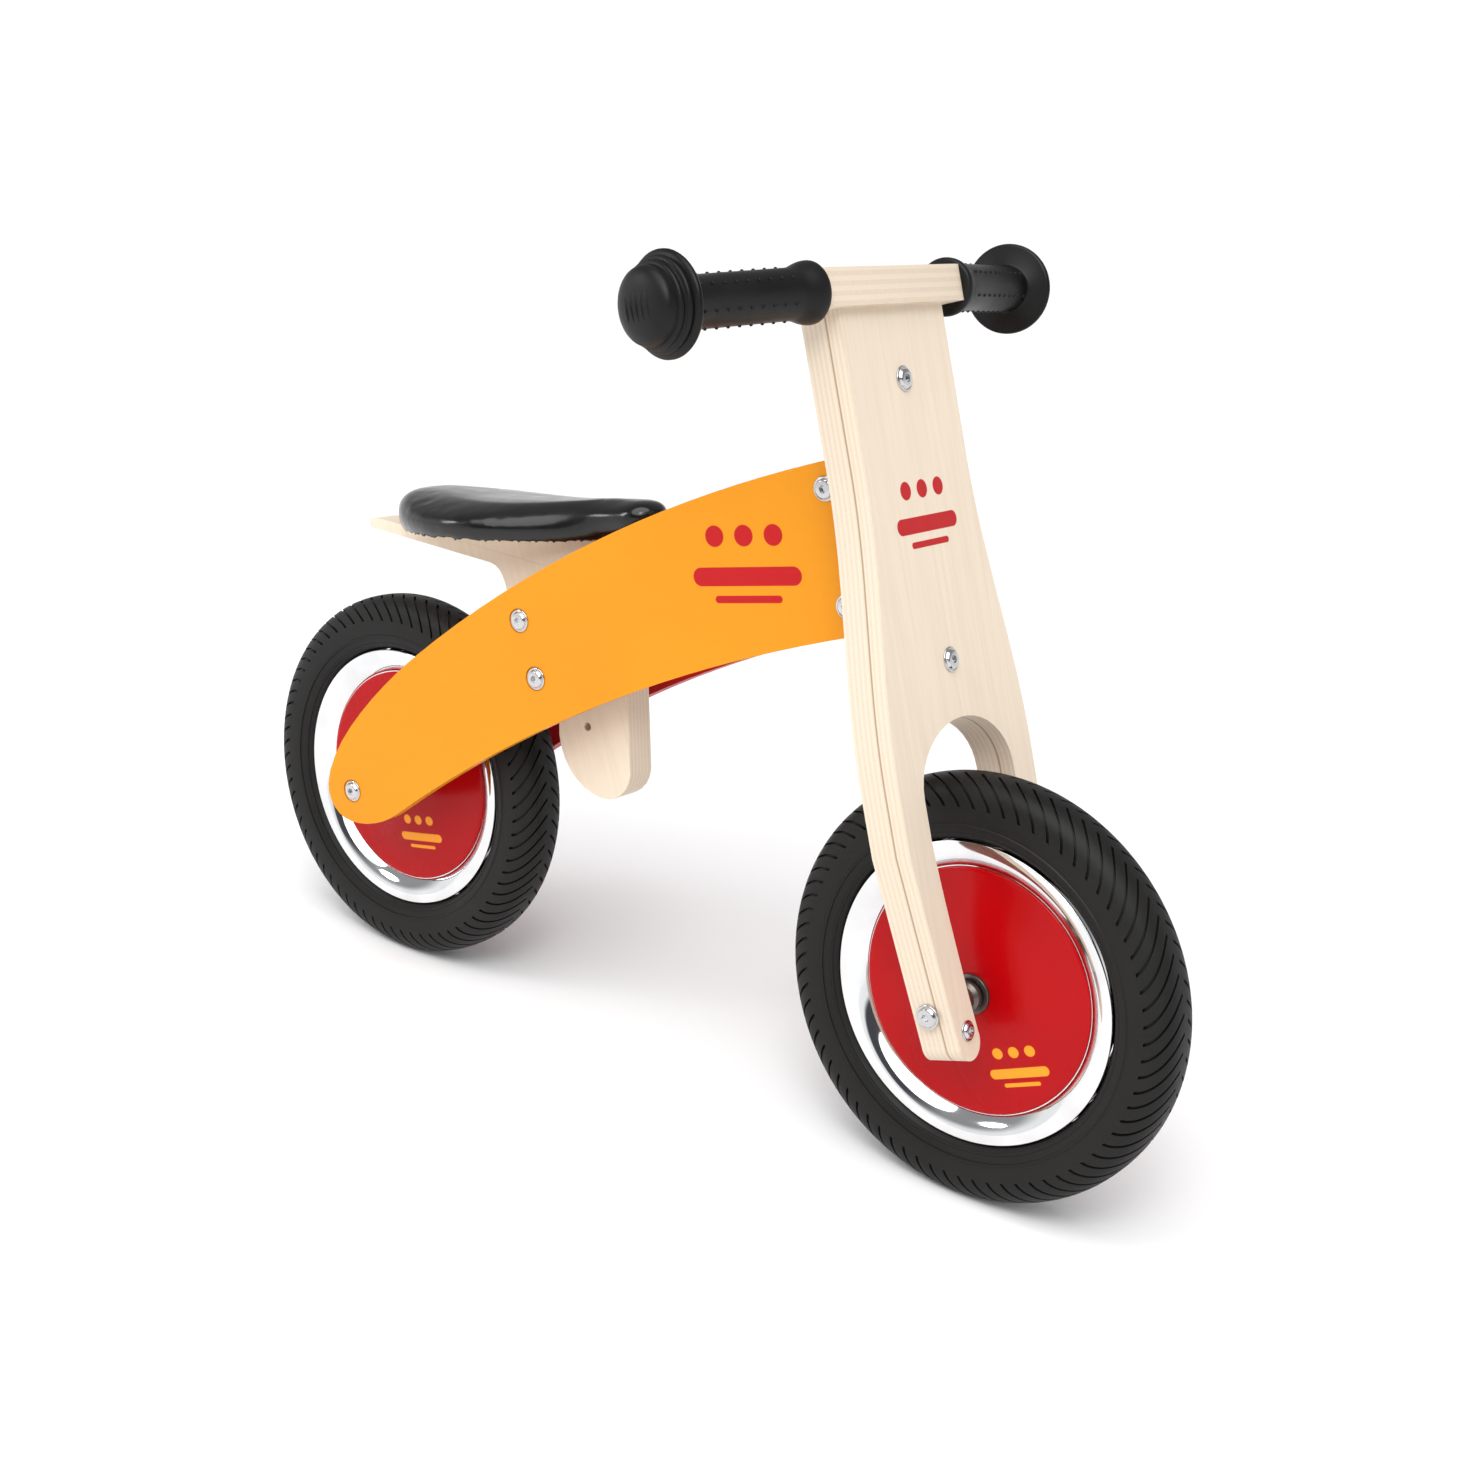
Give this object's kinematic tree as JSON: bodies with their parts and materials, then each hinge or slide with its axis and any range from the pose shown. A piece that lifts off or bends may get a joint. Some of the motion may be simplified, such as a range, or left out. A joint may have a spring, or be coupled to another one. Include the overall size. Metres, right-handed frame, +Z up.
{
  "type": "balance bike",
  "caption": "Child's wooden balance bike with toed-in frame panels, an arched fork board that steers, swept bar with rubber grips, padded saddle on a slanted post and pneumatic wheels.",
  "frame": {"origin": "on the ground, midway between the front and rear axles", "axes": "+X forward towards the front wheel, +Y to the rider's left, +Z up"},
  "size_m": [0.85, 0.4426, 0.6246],
  "materials": {
    "panel_orange": "satin orange lacquer on plywood",
    "panel_red": "satin red lacquer on plywood",
    "birch_plywood": "clear satin lacquer over pale birch plywood",
    "bush_plastic": "matt black moulded",
    "saddle_vinyl": "glossy black upholstery",
    "tyre_rubber": "matt black with diagonal tread grooves",
    "tube_rubber": "matt black",
    "grip_rubber": "matt black moulded rubber",
    "rim_chrome": "polished chrome plate",
    "disc_red": "glossy red",
    "dark_metal": "dark satin paint",
    "bolt_steel": "bright zinc plate"
  },
  "bodies": {
    "frame": {"panel_right": "panel_orange", "panel_left": "panel_red", "head_block": "birch_plywood", "head_bushes": "bush_plastic", "head_screws": "bolt_steel", "seat_post": "birch_plywood", "seat_spacer_right": "birch_plywood", "seat_spacer_left": "birch_plywood", "seat_bolts": "bolt_steel", "seat_sleeves": "bolt_steel", "seat_wedge": "birch_plywood", "saddle_board": "birch_plywood", "saddle_pad": "saddle_vinyl", "saddle_screws": "bolt_steel", "rear_axle": "bolt_steel", "rear_spacers": "dark_metal", "rear_axle_bolts": "bolt_steel"},
    "rear_wheel": {"rear_tyre": "tyre_rubber", "rear_tube": "tube_rubber", "rear_rim": "rim_chrome", "rear_disc_right": "disc_red", "rear_disc_left": "disc_red", "rear_hub": "dark_metal", "rear_bearings": "bolt_steel"},
    "fork": {"fork_board": "birch_plywood", "upper_lug": "birch_plywood", "lower_lug": "birch_plywood", "lug_screws": "bolt_steel", "steering_pin": "bolt_steel", "steering_nut": "bolt_steel", "handlebar": "birch_plywood", "bar_dowels": "birch_plywood", "grip_right": "grip_rubber", "grip_left": "grip_rubber", "leg_screws": "bolt_steel", "front_axle": "bolt_steel", "front_spacers": "dark_metal", "front_axle_bolts": "bolt_steel"},
    "front_wheel": {"front_tyre": "tyre_rubber", "front_tube": "tube_rubber", "front_rim": "rim_chrome", "front_disc_right": "disc_red", "front_disc_left": "disc_red", "front_hub": "dark_metal", "front_bearings": "bolt_steel"}
  },
  "joints": [
    {"name": "steering", "type": "hinge", "parent": "frame", "child": "fork", "pos_m": [0.13733, 0, 0.42979], "axis": [-0.3289, 0, 0.9444], "range_deg": [-28, 28]},
    {"name": "rear_wheel_spin", "type": "hinge", "parent": "frame", "child": "rear_wheel", "pos_m": [-0.275, 0, 0.15], "axis": [0, 1, 0], "continuous": true},
    {"name": "front_wheel_spin", "type": "hinge", "parent": "fork", "child": "front_wheel", "pos_m": [0.275, 0, 0.15], "axis": [0, 1, 0], "continuous": true}
  ]
}
